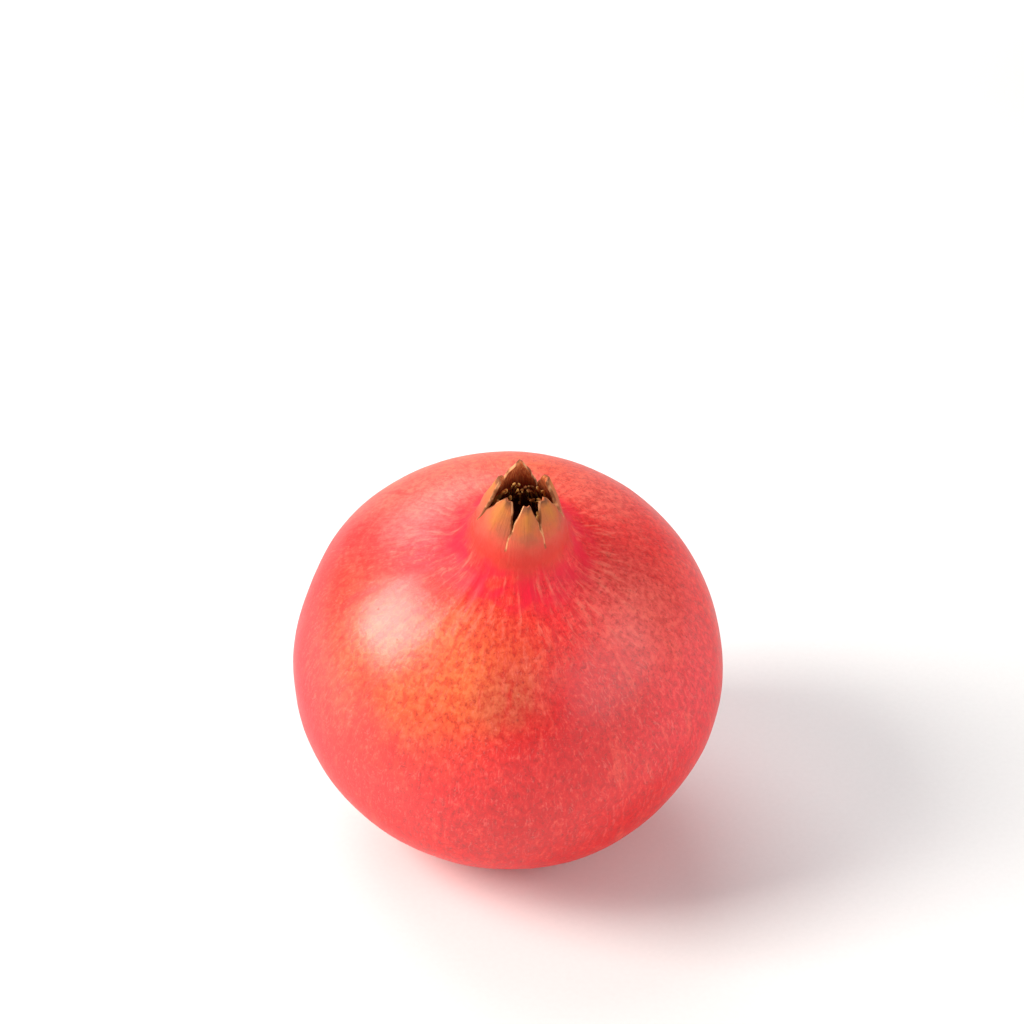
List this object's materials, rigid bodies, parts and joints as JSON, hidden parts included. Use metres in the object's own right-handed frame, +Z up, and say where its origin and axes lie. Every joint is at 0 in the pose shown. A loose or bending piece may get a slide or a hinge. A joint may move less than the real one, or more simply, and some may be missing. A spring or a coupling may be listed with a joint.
{
  "type": "pomegranate",
  "caption": "Whole ripe pomegranate with a leathery coral-red rind, a pointed calyx crown holding dry stamens, and a cut stalk stub.",
  "frame": {"origin": "middle of the fruit's footprint, on the surface it rests on", "axes": "+Z up, away from the surface; the crown leans towards -Y and slightly towards +X"},
  "size_m": [0.0948, 0.0942, 0.1018],
  "materials": {
    "rind": "satin waxy rind, coral red with pinker and more orange patches, turning tan at the crown",
    "stamen": "dry, matt, golden brown",
    "stalk": "dry, matt, brown, fibrous cut end"
  },
  "bodies": {
    "root": {"fruit": "rind", "stalk_stub": "stalk", "stamen_01": "stamen", "stamen_02": "stamen", "stamen_03": "stamen", "stamen_04": "stamen", "stamen_05": "stamen", "stamen_06": "stamen", "stamen_07": "stamen", "stamen_08": "stamen", "stamen_09": "stamen", "stamen_10": "stamen", "stamen_11": "stamen", "stamen_12": "stamen", "stamen_13": "stamen", "stamen_14": "stamen", "stamen_15": "stamen", "stamen_16": "stamen", "stamen_17": "stamen", "stamen_18": "stamen", "stamen_19": "stamen", "stamen_20": "stamen", "stamen_21": "stamen", "stamen_22": "stamen", "stamen_23": "stamen", "stamen_24": "stamen", "stamen_25": "stamen", "stamen_26": "stamen", "stamen_27": "stamen", "stamen_28": "stamen", "stamen_29": "stamen", "stamen_30": "stamen", "stamen_31": "stamen", "stamen_32": "stamen", "stamen_33": "stamen", "stamen_34": "stamen", "stamen_35": "stamen", "stamen_36": "stamen"}
  },
  "joints": []
}
